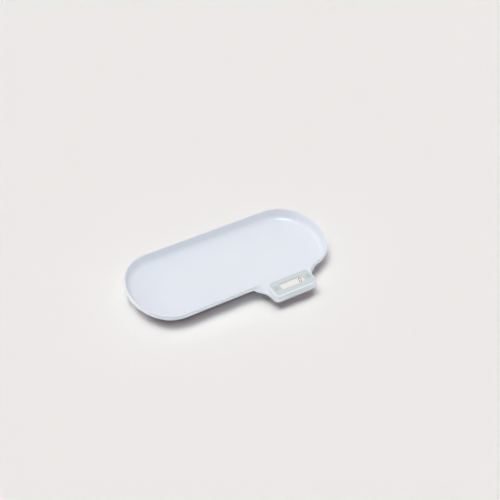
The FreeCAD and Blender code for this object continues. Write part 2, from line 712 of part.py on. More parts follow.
def lead_passages():
    """Notches for the leads: in the ribs, in the foot wells and in the end wall of the bay."""
    wide = LEAD_DIAMETER + 2 * LEAD_CLEARANCE
    notches = []
    for sx, sy in CORNERS.values():
        x0, x1 = sorted((sx * (CELL_X - CELL_SIZE), sx * (CELL_X - CELL_SIZE / 2 + SINK)))
        y = sy * CELL_Y
        bottom = CELL_UNDERSIDE - LEAD_CLEARANCE
        notches.append(box((x0, y - wide / 2, bottom), (x1, y + wide / 2, RIM_TOP)))
    for name in LEAD_ORDER:
        x = lead_column(name)
        low, high = (x - wide / 2, BASE_FRONT, BASE_FLOOR_TOP), (x + wide / 2, CELL_Y, BASE_SEAM)
        notches.append(box(low, high))
    for sign in (-1, 1):
        start = V(BAY_END, battery_row(sign), BATTERY_Z)
        radius = BATTERY_LEAD_DIAMETER / 2 + LEAD_CLEARANCE
        notches.append(Part.makeCylinder(radius, BAY_WALL, start, V(1, 0, 0)))
    return notches


def bottom_cover():
    outer, inner = base_tub()
    posts, bores = screw_posts()
    wells, well_bores = foot_wells()
    bay, bay_rooms = battery_bay()
    tub_wall = COVER_WALL * math.sqrt(1 + TUB_SLOPE ** 2)
    cover = outer.fuse([
        console_tub(0, TUB_UNDERSIDE), lead_duct(COVER_WALL, DUCT_UNDERSIDE, TUB_FLOOR_TOP)
    ])
    cover = cover.cut([
        inner, console_tub(tub_wall, TUB_FLOOR_TOP), lead_duct(0, DUCT_FLOOR_TOP, TUB_FLOOR_TOP)
    ])
    cover = cover.fuse(posts + wells + bay + base_ribs())
    cover = cover.cut(bores + well_bores + bay_rooms + lead_passages())
    return cover.cut([basin_space(WALL + SEAM_GAP)]).removeSplitter()


# ------------------------------------------------------------------ console pieces

def button_hole_cuts(bottom, top):
    size = BUTTON_DIAMETER + 2 * BUTTON_GAP
    return [cylinder(c, size, bottom, top) for c in BUTTON_CENTRES.values()]


def panel_overlay():
    sheet = rounded_prism(
        OVERLAY_CENTRE, OVERLAY_LENGTH, OVERLAY_WIDTH, OVERLAY_CORNER, OVERLAY_SEAT, RIM_TOP
    )
    opening = rounded_prism(
        DISPLAY_CENTRE, WINDOW_LENGTH, WINDOW_WIDTH, WINDOW_CORNER, OVERLAY_SEAT, RIM_TOP
    )
    return sheet.cut([opening] + button_hole_cuts(OVERLAY_SEAT, RIM_TOP))


def display_window():
    return lens_block(0.0, 0.0)


def lcd_glass():
    """Front plate with a contact ledge along one long edge, and the shorter rear plate."""
    front = block(DISPLAY_CENTRE, LCD_LENGTH, LCD_WIDTH, LCD_TOP - LCD_PLATE, LCD_TOP)
    centre = (DISPLAY_CENTRE[0], DISPLAY_CENTRE[1] - LCD_LEDGE / 2)
    rear = block(centre, LCD_LENGTH, LCD_WIDTH - LCD_LEDGE, LCD_TOP - 2 * LCD_PLATE, LCD_TOP - LCD_PLATE)
    return fuse(front, rear)


def lcd_bezel():
    """Frame on the board that carries the display and clamps it up to the deck."""
    length, width = LCD_LENGTH + 2 * FIT_GAP, LCD_WIDTH + 2 * FIT_GAP
    frame = block(
        DISPLAY_CENTRE, length + 2 * BEZEL_WALL, width + 2 * BEZEL_WALL, BOARD_TOP, DECK_UNDERSIDE
    )
    pocket = block(DISPLAY_CENTRE, length, width, LCD_TOP - 2 * LCD_PLATE, DECK_UNDERSIDE)
    room = block(
        DISPLAY_CENTRE, length - 2 * BEZEL_WALL, width - 2 * LCD_LEDGE, BOARD_TOP, DECK_UNDERSIDE
    )
    return frame.cut([pocket, room, zebra_slot(FIT_GAP)])


def zebra_slot(margin):
    y = DISPLAY_CENTRE[1] + (LCD_WIDTH - LCD_LEDGE) / 2
    length = LCD_LENGTH - 2 * LCD_LEDGE + 2 * margin
    top = LCD_TOP - LCD_PLATE
    return block((DISPLAY_CENTRE[0], y), length, ZEBRA_WIDTH + 2 * margin, BOARD_TOP, top)


def main_board():
    board = rounded_prism(
        DISPLAY_CENTRE, BOARD_LENGTH, BOARD_WIDTH, BOARD_CORNER, BOARD_UNDERSIDE, BOARD_TOP
    )
    size = BOARD_SCREW_DIAMETER + 2 * FIT_GAP
    return board.cut([cylinder(p, size, BOARD_UNDERSIDE, BOARD_TOP) for p in board_screw_places()])


def controller_chip():
    return block(DISPLAY_CENTRE, CHIP_SIZE, CHIP_SIZE, BOARD_UNDERSIDE - CHIP_HEIGHT, BOARD_UNDERSIDE)


def lead_connector():
    centre = (DISPLAY_CENTRE[0], CONNECTOR_Y)
    return block(centre, CONNECTOR_LENGTH, CONNECTOR_WIDTH, CONNECTOR_FACE, BOARD_UNDERSIDE)


def button_cap(centre):
    cap = cylinder(centre, BUTTON_DIAMETER, FLANGE_TOP, RIM_TOP + BUTTON_PROUD)
    cap = cap.makeChamfer(BUTTON_CHAMFER, level_edges(cap, RIM_TOP + BUTTON_PROUD))
    flange = cylinder(centre, BUTTON_DIAMETER + 2 * BUTTON_FLANGE_OVER, FLANGE_BOTTOM, FLANGE_TOP)
    stem = cylinder(centre, BUTTON_STEM_DIAMETER, PLUNGER_TOP, FLANGE_BOTTOM)
    return fuse(cap, flange, stem)


def switch_housing(centre):
    housing = block(centre, SWITCH_SIZE, SWITCH_SIZE, BOARD_TOP, SWITCH_TOP)
    bore = PLUNGER_DIAMETER + 2 * PLUNGER_GAP
    floor = SWITCH_TOP - PLUNGER_DEPTH - BUTTON_TRAVEL - FIT_GAP
    return housing.cut(cylinder(centre, bore, floor, SWITCH_TOP))


def switch_plunger(centre):
    return cylinder(centre, PLUNGER_DIAMETER, SWITCH_TOP - PLUNGER_DEPTH, PLUNGER_TOP)


# ------------------------------------------------------------------ load cells and feet

def load_cell(centre):
    """Square steel plate: an outer frame and a middle tongue cut free on three sides."""
    x, y = centre
    plate = block(centre, CELL_SIZE, CELL_SIZE, CELL_UNDERSIDE, CELL_TOP)
    inner = CELL_SIZE / 2 - CELL_FRAME
    room = box((x - inner, y - inner, CELL_UNDERSIDE), (x + inner, y + inner, CELL_TOP))
    tongue = box(
        (x - CELL_TONGUE / 2, y - inner, CELL_UNDERSIDE),
        (x + CELL_TONGUE / 2, y + inner - CELL_SLOT, CELL_TOP),
    )
    return plate.cut(room.cut(tongue))


def foot_carrier(centre):
    """Foot with a recess for its pad, a pin under the load cell and hooks over the ledge."""
    disc = cylinder(centre, FOOT_DIAMETER, PAD_PROUD, FOOT_DISC_TOP)
    recess = cylinder(centre, PAD_DIAMETER, 0, PAD_THICKNESS)
    hook_bottom = FOOT_LEDGE_TOP + FOOT_SLACK
    hook_top = hook_bottom + FOOT_HOOK_THICKNESS
    inside = FOOT_STEM_DIAMETER - 2 * FOOT_STEM_WALL
    stem = cylinder(centre, FOOT_STEM_DIAMETER, FOOT_DISC_TOP, hook_top)
    hooks = cylinder(centre, FOOT_STEM_DIAMETER + 2 * FOOT_HOOK_OUT, hook_bottom, hook_top)
    reach = FOOT_STEM_DIAMETER
    cross = block(centre, 2 * reach, FOOT_HOOK_WIDTH, FOOT_DISC_TOP, hook_top)
    cross = cross.fuse(block(centre, FOOT_HOOK_WIDTH, 2 * reach, FOOT_DISC_TOP, hook_top))
    clips = stem.fuse(hooks).cut(cylinder(centre, inside, FOOT_DISC_TOP, hook_top)).common(cross)
    pin = cylinder(centre, FOOT_PIN_DIAMETER, FOOT_DISC_TOP, CELL_UNDERSIDE)
    return fuse(disc.cut(recess), clips, pin)


def foot_pad(centre):
    return cylinder(centre, PAD_DIAMETER, 0, PAD_THICKNESS)


# ------------------------------------------------------------------ battery bay pieces

def battery_row(sign):
    """Y of a battery's axis."""
    return BAY_CENTRE[1] + sign * CELL_PITCH / 2


def battery(sign):
    """AAA cell; the two lie head to tail."""
    y = battery_row(sign)
    can = Part.makeCylinder(CELL_DIAMETER / 2, CELL_LENGTH, V(0, 0, 0), V(1, 0, 0))
    nub = Part.makeCylinder(CELL_NUB_DIAMETER / 2, CELL_NUB, V(CELL_LENGTH, 0, 0), V(1, 0, 0))
    cell = fuse(can, nub)
    if sign > 0:
        cell.translate(V(BAY_START + PLATE_THICKNESS + SPRING_LENGTH, y, BATTERY_Z))
        return cell
    cell.rotate(V(0, 0, 0), UP, 180)
    cell.translate(V(BAY_END - PLATE_THICKNESS - SPRING_LENGTH, y, BATTERY_Z))
    return cell


def battery_spring(sign):
    """Coil between a battery's flat end and its contact plate."""
    radius = CELL_DIAMETER / 2 - SPRING_WIRE - FIT_GAP
    rise = SPRING_LENGTH - SPRING_WIRE
    helix = Part.makeHelix(rise / SPRING_TURNS, rise, radius)
    half = SPRING_WIRE / 2
    corners = [(-half, -half), (half, -half), (half, half), (-half, half), (-half, -half)]
    profile = Part.makePolygon([V(radius + x, 0, z) for x, z in corners])
    coil = Part.Wire(helix).makePipeShell([profile], True, True)
    coil.translate(V(0, 0, SPRING_WIRE / 2))
    coil.rotate(V(0, 0, 0), V(0, 1, 0), 90)
    if sign > 0:
        coil.translate(V(BAY_START + PLATE_THICKNESS, battery_row(sign), BATTERY_Z))
        return coil
    coil.rotate(V(0, 0, 0), UP, 180)
    coil.translate(V(BAY_END - PLATE_THICKNESS, battery_row(sign), BATTERY_Z))
    return coil


def battery_plates():
    """One plate that joins both batteries at the start of the bay, two single plates at its end."""
    low, high = BATTERY_Z - CELL_DIAMETER / 2, BATTERY_Z + CELL_DIAMETER / 2
    half = CELL_DIAMETER / 2
    bridge = box(
        (BAY_START, battery_row(-1) - half, low), (BAY_START + PLATE_THICKNESS, battery_row(1) + half, high)
    )
    singles = [
        box((BAY_END - PLATE_THICKNESS, battery_row(s) - half, low), (BAY_END, battery_row(s) + half, high))
        for s in (-1, 1)
    ]
    return Part.makeCompound([bridge] + singles)


def battery_door():
    """Flush plate with a rounded hinge edge, two pins and a finger grip at the free end."""
    y0, y1 = door_sides(0)
    end = BAY_END + DOOR_THICKNESS
    plate = box((DOOR_PIN_X, y0, BASE_UNDERSIDE), (end, y1, BASE_UNDERSIDE + DOOR_THICKNESS))
    edge = Part.makeCylinder(DOOR_THICKNESS / 2, y1 - y0, V(DOOR_PIN_X, y0, DOOR_PIN_Z), V(0, 1, 0))
    pins = Part.makeCylinder(
        DOOR_PIN_DIAMETER / 2, y1 - y0 + 2 * DOOR_PIN_LENGTH,
        V(DOOR_PIN_X, y0 - DOOR_PIN_LENGTH, DOOR_PIN_Z), V(0, 1, 0),
    )
    grip = cylinder(
        (end - DOOR_GRIP_FROM_END, BAY_CENTRE[1]), DOOR_GRIP_DIAMETER,
        BASE_UNDERSIDE, BASE_UNDERSIDE + DOOR_GRIP_DEPTH,
    )
    return fuse(plate, edge, pins).cut(grip)


# ------------------------------------------------------------------ screws and leads

def screw(place, seat, diameter, head, head_height, length):
    """Screw that is driven upward, with its head under the seat."""
    return fuse(
        cylinder(place, head, seat - head_height, seat), cylinder(place, diameter, seat, seat + length)
    )


def case_screws():
    screws = []
    for places, underside in ((BASE_SCREWS, BASE_UNDERSIDE), (NECK_SCREWS, TUB_UNDERSIDE)):
        seat = underside + SCREW_SINK + SCREW_HEAD_HEIGHT
        screws += [
            screw(p, seat, SCREW_DIAMETER, SCREW_HEAD_DIAMETER, SCREW_HEAD_HEIGHT, SCREW_LENGTH)
            for p in places
        ]
    return Part.makeCompound(screws)


def board_screws():
    return Part.makeCompound([
        screw(
            p, BOARD_UNDERSIDE, BOARD_SCREW_DIAMETER, BOARD_SCREW_HEAD,
            BOARD_SCREW_HEAD_HEIGHT, BOARD_SCREW_LENGTH,
        )
        for p in board_screw_places()
    ])


def rounded_path(points, bend):
    """Straight runs between points, joined by tangent arcs."""
    edges, start = [], points[0]
    for before, corner, after in zip(points, points[1:], points[2:]):
        a, b = (before - corner).normalize(), (after - corner).normalize()
        turn = math.pi - a.getAngle(b)
        reach = bend * math.tan(turn / 2)
        first, last = corner + a * reach, corner + b * reach
        middle = corner + (a + b).normalize() * (bend / math.cos(turn / 2) - bend)
        edges.append(Part.makeLine(start, first))
        edges.append(Part.Arc(first, middle, last).toShape())
        start = last
    edges.append(Part.makeLine(start, points[-1]))
    return edges


def lead_column(name):
    """X of the run in which a lead goes forward to the console."""
    middle = (len(LEAD_ORDER) - 1) / 2
    return DISPLAY_CENTRE[0] + (LEAD_ORDER.index(name) - middle) * LEAD_PITCH


def lead(name, start, toward, diameter):
    """Lead from its start, down to the floor of the base, forward and up to the connector."""
    x, y = lead_column(name), start.y
    floor = BASE_FLOOR_TOP + diameter / 2 + LEAD_LIFT
    neck = DUCT_FLOOR_TOP + diameter / 2 + LEAD_LIFT
    wall = BASE_FRONT + LEAD_WALL_CLEARANCE
    points = [
        start,
        start + V(toward * LEAD_STRAIGHT, 0, 0),
        V(start.x + toward * (LEAD_STRAIGHT + LEAD_FALL_RUN), y, floor),
        V(x, y, floor),
        V(x, wall + LEAD_RISE_RUN, floor),
        V(x, wall, neck),
        V(x, CONNECTOR_Y, neck),
        V(x, CONNECTOR_Y, CONNECTOR_FACE),
    ]
    profile = Part.makePolygon([
        start + V(0, math.cos(a), math.sin(a)) * (diameter / 2)
        for a in (math.radians(n * 360 / LEAD_SIDES) for n in range(LEAD_SIDES + 1))
    ])
    return Part.Wire(rounded_path(points, LEAD_BEND)).makePipeShell([profile], True, False)


def load_cell_lead(name):
    sx, sy = CORNERS[name]
    start = V(sx * (CELL_X - CELL_SIZE / 2), sy * CELL_Y, CELL_UNDERSIDE + CELL_THICKNESS / 2)
    return lead(name, start, -sx, LEAD_DIAMETER)


def battery_lead(name, sign):
    return lead(name, V(BAY_END, battery_row(sign), BATTERY_Z), 1, BATTERY_LEAD_DIAMETER)


def build():
    os.makedirs("parts", exist_ok=True)
    export("tray_shell", tray_shell())
    export("bottom_cover", bottom_cover())
    export("panel_overlay", panel_overlay())
    export("display_window", display_window())
    export("lcd_glass", lcd_glass())
    export("lcd_bezel", lcd_bezel())
    export("zebra_connector", zebra_slot(0.0))
    export("main_board", main_board())
    export("controller_chip", controller_chip())
    export("lead_connector", lead_connector())
    for side, centre in BUTTON_CENTRES.items():
        export(side + "_button_cap", button_cap(centre))
        export(side + "_switch_housing", switch_housing(centre))
        export(side + "_switch_plunger", switch_plunger(centre))
    for name, (sx, sy) in CORNERS.items():
        centre = (sx * CELL_X, sy * CELL_Y)
        export(name + "_load_cell", load_cell(centre))
        export(name + "_foot_carrier", foot_carrier(centre))
        export(name + "_foot_pad", foot_pad(centre))
        export(name + "_cell_lead", load_cell_lead(name))
    for name, sign in (("front_battery", -1), ("rear_battery", 1)):
        export(name, battery(sign))
        export(name + "_lead", battery_lead(name, sign))
    export("battery_springs", Part.makeCompound([battery_spring(-1), battery_spring(1)]))
    export("battery_plates", battery_plates())
    export("battery_door", battery_door())
    export("case_screws", case_screws())
    export("board_screws", board_screws())


build()
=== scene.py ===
import json
import math

import bpy
from mathutils import Matrix, Vector


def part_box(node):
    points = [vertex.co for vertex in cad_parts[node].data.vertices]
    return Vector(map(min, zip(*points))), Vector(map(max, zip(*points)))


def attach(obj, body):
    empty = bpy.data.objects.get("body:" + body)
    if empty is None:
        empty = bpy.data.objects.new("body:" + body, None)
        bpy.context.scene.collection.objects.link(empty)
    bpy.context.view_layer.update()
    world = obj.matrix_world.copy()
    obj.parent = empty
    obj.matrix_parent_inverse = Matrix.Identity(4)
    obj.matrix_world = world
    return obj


# Digital baby weighing scale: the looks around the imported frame, in metres.
# +X runs along the tray to its right end, -Y points to the display console, +Z is up.
# Colours from 0 to 255 are sRGB. Those from 0 to 1 are the scene's own.

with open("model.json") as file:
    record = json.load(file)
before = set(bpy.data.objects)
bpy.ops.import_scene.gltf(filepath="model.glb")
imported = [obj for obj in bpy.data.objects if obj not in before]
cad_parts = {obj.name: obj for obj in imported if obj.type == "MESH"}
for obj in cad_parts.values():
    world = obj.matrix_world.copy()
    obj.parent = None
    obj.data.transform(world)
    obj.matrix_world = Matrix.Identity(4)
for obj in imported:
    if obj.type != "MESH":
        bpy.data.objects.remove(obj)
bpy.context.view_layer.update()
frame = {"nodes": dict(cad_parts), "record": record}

# ---------------------------------------------------------------- camera, light and floor
CAMERA_PLACE = Vector((-0.913504, -1.648735, 1.796497))
CAMERA_AIM = Vector((0.080684, 0.054155, 0.03))
CAMERA_ROLL = math.radians(0.3875)
CAMERA_LENS, CAMERA_SENSOR = 71.26, 36.0  # millimetres
CAMERA_NEAR, CAMERA_FAR = 0.05, 100.0

# Name, direction of travel, strength, width in degrees, colour, and what it lights.
# The fills light the scale alone, so that the floor under it keeps its shadow.
LAMPS = (
    ("key", (0.2, 0.12, -1.0), 1.60, 28, (0.96, 1.0, 0.99), "all"),
    ("fill_above", (0.0, 0.0, -1.0), 0.36, 140, (0.97, 1.0, 0.99), "scale"),
    ("fill_front", (0.0, 1.0, -0.35), 0.56, 60, (0.84, 1.0, 0.91), "scale"),
    ("fill_right", (-1.0, 0.0, -0.35), 0.66, 60, (0.97, 1.0, 0.90), "scale"),
    ("fill_left", (1.0, -0.8, -0.42), 1.42, 50, (1.0, 0.96, 0.87), "scale"),
    ("floor_from_left", (0.42, -0.12, -1.0), 0.64, 28, (0.94, 1.0, 0.97), "floor"),
    ("floor_from_right", (-0.32, -0.12, -1.0), 0.475, 28, (0.94, 1.0, 0.97), "floor"),
)
AMBIENT_STRENGTH = 0.16
AMBIENT_COLOUR = (1.0, 0.58, 0.72)
BACKGROUND = (237, 236, 236)
FLOOR_COLOUR = (242, 242, 240)
FLOOR_HALF = 20.0

# ---------------------------------------------------------------- finishes
# Plastic, rubber and print: colour, roughness, grain size in metres, strength of the grain's
# bump, and what differs from the defaults of plastic().
PLASTICS = {
    "white_abs": ((227, 235, 244), 0.3, 0.0009, 0.05, {"coat": 0.35}),
    "cover_abs": ((222, 227, 233), 0.5, 0.0007, 0.25, {}),
    "panel_grey": ((205, 216, 219), 0.42, 0.0004, 0.10, {}),
    "button_grey": ((206, 215, 218), 0.45, 0.0005, 0.10, {}),
    "lcd_glass": ((243, 242, 240), 0.5, 0.0003, 0.02, {"specular": 0.2}),
    "black_plastic": ((34, 35, 37), 0.5, 0.0005, 0.15, {}),
    "conductive_rubber": ((168, 172, 176), 0.75, 0.0004, 0.2, {}),
    "circuit_board": ((38, 98, 62), 0.4, 0.0012, 0.2, {"mottle": 0.12}),
    "ivory_nylon": ((226, 219, 201), 0.45, 0.0006, 0.1, {}),
    "lead_black": ((30, 30, 32), 0.5, 0.0005, 0.1, {}),
    "lead_red": ((150, 36, 34), 0.5, 0.0005, 0.1, {}),
    "foot_plastic": ((214, 219, 225), 0.48, 0.0007, 0.2, {}),
    "pad_rubber": ((92, 95, 99), 0.85, 0.0006, 0.4, {}),
    "lcd_ink": ((84, 76, 74), 0.5, 0.0002, 0.02, {}),
    # The grey below is the print on the button caps and also a ring of painted shade round each
    # cap.
    "print_and_shade_grey": ((136, 145, 149), 0.5, 0.0003, 0.05, {}),
}
MOTTLE_SCALE, MOTTLE_DETAIL, MOTTLE_ROUGHNESS = 14.0, 2.0, 0.5
GRAIN_DETAIL, GRAIN_ROUGHNESS = 3.0, 0.6
GRAIN_DEPTH = 0.2  # times the grain size
COAT_ROUGHNESS = 0.15
PLASTIC_GLOSS_LOW, PLASTIC_GLOSS_HIGH = 0.85, 1.15  # times the roughness

# Metal: colour, roughness, and the distance between drawn lines in metres.
METALS = {
    "plated_steel": ((196, 199, 203), 0.28, 0.0006),
    "cell_steel": ((170, 173, 178), 0.38, 0.0008),
}
METAL_GLOSS_LOW, METAL_GLOSS_HIGH = 0.8, 1.3  # times the roughness
LINE_STRETCH, LINE_DETAIL = (0.08, 1.0, 1.0), 4.0
LINE_DARK = 0.85  # times the colour

WINDOW_GLASS, WINDOW_CLEAR = (254, 255, 254), (252, 253, 253)
WINDOW_ROUGHNESS, WINDOW_IOR = 0.03, 1.49
RIPPLE_SCALE, RIPPLE_DETAIL, RIPPLE_STRENGTH, RIPPLE_DEPTH = 900.0, 2.0, 0.02, 0.0001

# Batteries: which way along X the nub points, and the bands from the flat end, 0, to the
# nub, 1: bare can, jacket, a pale band of the jacket, and bare can again.
BATTERY_NUBS = {"front_battery": -1, "rear_battery": 1}
JACKET_START, PALE_START, NUB_START = 0.022, 0.74, 0.955
CAN_COLOUR, JACKET_COLOUR, PALE_COLOUR = (176, 177, 179), (52, 84, 128), (206, 204, 198)
BARE, PRINTED = (1, 1, 1, 1), (0, 0, 0, 1)  # as metallic values
JACKET_GRAIN_SCALE, JACKET_GRAIN_DETAIL = 1200.0, 2.0
JACKET_GLOSS_LOW, JACKET_GLOSS_HIGH = 0.22, 0.34

# ---------------------------------------------------------------- print and fine shapes
PRINT_SUNK, PRINT_PROUD = 0.0001, 0.00004

DIGIT_CENTRE = (0.12452, -0.1262)
DIGIT_WIDTH, DIGIT_HEIGHT = 0.0078, 0.0152
DIGIT_STROKE, DIGIT_GAP = 0.0017, 0.00018
DIGIT_SLANT = math.radians(14)
DIGIT_PROUD = 0.00003

# Signs on the button caps, and a ring of painted shade for the shaded gap round each cap,
# measured from the middle of the cap.
BAR_FROM_MIDDLE, BAR_HALF_WIDTH, BAR_HALF_LENGTH = 0.0015, 0.0005, 0.0026
POWER_INNER, POWER_OUTER, POWER_STEPS = 0.0025, 0.0033, 18
POWER_HALF_GAP = math.radians(38)
STROKE_HALF_WIDTH, STROKE_LOW, STROKE_HIGH = 0.0004, 0.0006, 0.0040
# The ring is painted shade: a grey ring on the cap's top where the gap round the cap looks dark.
SHADE_RING_INNER, SHADE_RING_OUTER, SHADE_RING_STEPS = 0.0062, 0.00655, 48

# Finger grip of the battery door: its place from the door's end, its size, and its ribs.
GRIP_FROM_END, GRIP_RADIUS, GRIP_DEPTH = 0.007, 0.0042, 0.0006
RIB_PITCH, RIB_WIDTH, RIB_HEIGHT, RIB_STEPS = 0.0021, 0.0009, 0.0004, 6

# Screws: x and y of each head, and the height of its lower face under base or console.
BASE_HEAD, NECK_HEAD = 0.0065, 0.0280
CASE_SCREWS = [(x, y, BASE_HEAD) for x in (-0.231, 0.231) for y in (0.0038, 0.0598)]
CASE_SCREWS += [(x, y, BASE_HEAD) for x in (-0.075, 0.1411) for y in (-0.0492, 0.1128)]
CASE_SCREWS += [(x, -0.0972, NECK_HEAD) for x in (0.0512, 0.1507)]
BOARD_HEAD_RADIUS = 0.0021

# Cross recess: how far its arms reach from the middle, and its depth in the head. The recess
# is wider than that at the mouth and narrower at the end, and its cutter starts below the head.
CASE_REACH, CASE_DEPTH = 0.0017, 0.0013
BOARD_REACH, BOARD_DEPTH = 0.0012, 0.0009
ARM_HALF_WIDTH = 0.26  # times the reach
MOUTH_WIDTH, END_WIDTH = 1.1, 0.65
CUTTER_BELOW = 0.0005


def linear(rgb):
    """Scene colour of an sRGB colour written from 0 to 255."""
    def channel(c):
        c /= 255
        return c / 12.92 if c <= 0.04045 else ((c + 0.055) / 1.055) ** 2.4
    return tuple(channel(c) for c in rgb) + (1.0,)


def add_object(name, data):
    thing = bpy.data.objects.new(name, data)
    bpy.context.scene.collection.objects.link(thing)
    return thing


class Nodes:
    """Small helper that fills a node tree."""

    def __init__(self, tree):
        self.tree = tree
        tree.nodes.clear()

    def add(self, kind, **values):
        """New node. Each value goes to the input or, where there is none, the setting."""
        node = self.tree.nodes.new(kind)
        for key, value in values.items():
            if key in node.inputs:
                node.inputs[key].default_value = value
            else:
                setattr(node, key, value)
        return node

    def link(self, output, entry):
        self.tree.links.new(output, entry)

    def noise(self, place, scale, detail, **values):
        noise = self.add("ShaderNodeTexNoise", Scale=scale, Detail=detail, **values)
        self.link(place, noise.inputs["Vector"])
        return noise.outputs["Fac"]

    def vary_roughness(self, shader, fine, low, high):
        gloss = self.add("ShaderNodeMapRange")
        gloss.inputs["To Min"].default_value = low
        gloss.inputs["To Max"].default_value = high
        self.link(fine, gloss.inputs["Value"])
        self.link(gloss.outputs["Result"], shader.inputs["Roughness"])

    def bump(self, shader, fine, strength, distance):
        relief = self.add("ShaderNodeBump", Strength=strength, Distance=distance)
        self.link(fine, relief.inputs["Height"])
        self.link(relief.outputs["Normal"], shader.inputs["Normal"])

    def vary_colour(self, shader, fine, dark, pale):
        tint = self.add("ShaderNodeValToRGB")
        tint.color_ramp.elements[0].color = dark
        tint.color_ramp.elements[1].color = pale
        self.link(fine, tint.inputs[0])
        self.link(tint.outputs["Color"], shader.inputs["Base Color"])


def new_material(name):
    """A material with an empty node tree, its tree, and the place that textures follow."""
    material = bpy.data.materials.new(name)
    material.use_nodes = True
    n = Nodes(material.node_tree)
    return material, n, n.add("ShaderNodeTexCoord").outputs["Object"]


def show(n, shader):
    n.link(shader.outputs[0], n.add("ShaderNodeOutputMaterial").inputs[0])


# ---------------------------------------------------------------- camera, light and floor
def make_camera():
    data = bpy.data.cameras.new("camera")
    data.lens = CAMERA_LENS
    data.sensor_width = CAMERA_SENSOR
    data.clip_start, data.clip_end = CAMERA_NEAR, CAMERA_FAR
    camera = add_object("camera", data)
    look = (CAMERA_AIM - CAMERA_PLACE).to_track_quat("-Z", "Y").to_matrix().to_4x4()
    camera.matrix_world = (
        Matrix.Translation(CAMERA_PLACE) @ look @ Matrix.Rotation(CAMERA_ROLL, 4, "Z")
    )
    bpy.context.scene.camera = camera


def make_world():
    """A weak tinted light. Camera, gloss and glass see a pale background in its place."""
    world = bpy.data.worlds.new("world")
    bpy.context.scene.world = world
    world.use_nodes = True
    n = Nodes(world.node_tree)
    light = n.add("ShaderNodeBackground", Color=(*AMBIENT_COLOUR, 1), Strength=AMBIENT_STRENGTH)
    seen = n.add("ShaderNodeBackground", Color=linear(BACKGROUND), Strength=1.0)
    path = n.add("ShaderNodeLightPath")
    first = n.add("ShaderNodeMath", operation="MAXIMUM")
    second = n.add("ShaderNodeMath", operation="MAXIMUM")
    direct = n.add("ShaderNodeMath", operation="LESS_THAN")
    direct.inputs[1].default_value = 0.5  # a ray that no matt surface has scattered yet
    shown = n.add("ShaderNodeMath", operation="MULTIPLY")
    n.link(path.outputs["Is Camera Ray"], first.inputs[0])
    n.link(path.outputs["Is Glossy Ray"], first.inputs[1])
    n.link(first.outputs[0], second.inputs[0])
    n.link(path.outputs["Is Transmission Ray"], second.inputs[1])
    n.link(path.outputs["Diffuse Depth"], direct.inputs[0])
    n.link(second.outputs[0], shown.inputs[0])
    n.link(direct.outputs[0], shown.inputs[1])
    mix = n.add("ShaderNodeMixShader")
    n.link(shown.outputs[0], mix.inputs[0])
    n.link(light.outputs[0], mix.inputs[1])
    n.link(seen.outputs[0], mix.inputs[2])
    n.link(mix.outputs[0], n.add("ShaderNodeOutputWorld").inputs[0])


def make_floor():
    material = bpy.data.materials.new("floor")
    material.use_nodes = True
    n = Nodes(material.node_tree)
    show(n, n.add("ShaderNodeBsdfDiffuse", Color=linear(FLOOR_COLOUR)))
    h = FLOOR_HALF
    mesh = bpy.data.meshes.new("floor")
    mesh.from_pydata([(-h, -h, 0), (h, -h, 0), (h, h, 0), (-h, h, 0)], [], [(0, 1, 2, 3)])
    mesh.materials.append(material)
    floor = add_object("floor", mesh)
    return floor


def make_lights(floor):
    """Soft suns. One that lights only the scale or only the floor is linked to do so."""
    for name, direction, strength, width, colour, lights in LAMPS:
        data = bpy.data.lights.new(name, "SUN")
        data.energy = strength
        data.angle = math.radians(width)
        data.color = colour
        lamp = add_object(name, data)
        lamp.rotation_euler = Vector(direction).to_track_quat("-Z", "Y").to_euler()
        if lights != "all":
            lamp.visible_glossy = False
            receivers = bpy.data.collections.new(name + "_receivers")
            receivers.objects.link(floor)
            state = "INCLUDE" if lights == "floor" else "EXCLUDE"
            receivers.collection_objects[0].light_linking.link_state = state
            lamp.light_linking.receiver_collection = receivers


# ---------------------------------------------------------------- materials
def plastic(name, colour, roughness, grain, bump, mottle=0.015, specular=0.5, coat=0.0):
    """Moulded or printed plastic: a faint mottle, and a grain in its bump and roughness."""
    material, n, place = new_material(name)
    shader = n.add("ShaderNodeBsdfPrincipled")
    shader.inputs["Specular IOR Level"].default_value = specular
    shader.inputs["Coat Weight"].default_value = coat
    shader.inputs["Coat Roughness"].default_value = COAT_ROUGHNESS
    base = linear(colour)[:3]
    broad = n.noise(place, MOTTLE_SCALE, MOTTLE_DETAIL, Roughness=MOTTLE_ROUGHNESS)
    dark = [c * (1 - mottle) for c in base] + [1]
    pale = [min(1, c * (1 + mottle)) for c in base] + [1]
    n.vary_colour(shader, broad, dark, pale)
    fine = n.noise(place, 1 / grain, GRAIN_DETAIL, Roughness=GRAIN_ROUGHNESS)
    low, high = roughness * PLASTIC_GLOSS_LOW, min(1.0, roughness * PLASTIC_GLOSS_HIGH)
    n.vary_roughness(shader, fine, low, high)
    n.bump(shader, fine, bump, grain * GRAIN_DEPTH)
    show(n, shader)
    return material


def metal(name, colour, roughness, spacing):
    """Plated or bare metal with fine drawn lines along X, spacing metres apart."""
    material, n, place = new_material(name)
    shader = n.add("ShaderNodeBsdfPrincipled", Metallic=1.0)
    drawn = n.add("ShaderNodeMapping", Scale=LINE_STRETCH)
    n.link(place, drawn.inputs["Vector"])
    fine = n.noise(drawn.outputs["Vector"], 1 / spacing, LINE_DETAIL)
    base = linear(colour)
    n.vary_colour(shader, fine, [c * LINE_DARK for c in base[:3]] + [1], base)
    n.vary_roughness(shader, fine, roughness * METAL_GLOSS_LOW, roughness * METAL_GLOSS_HIGH)
    show(n, shader)
    return material


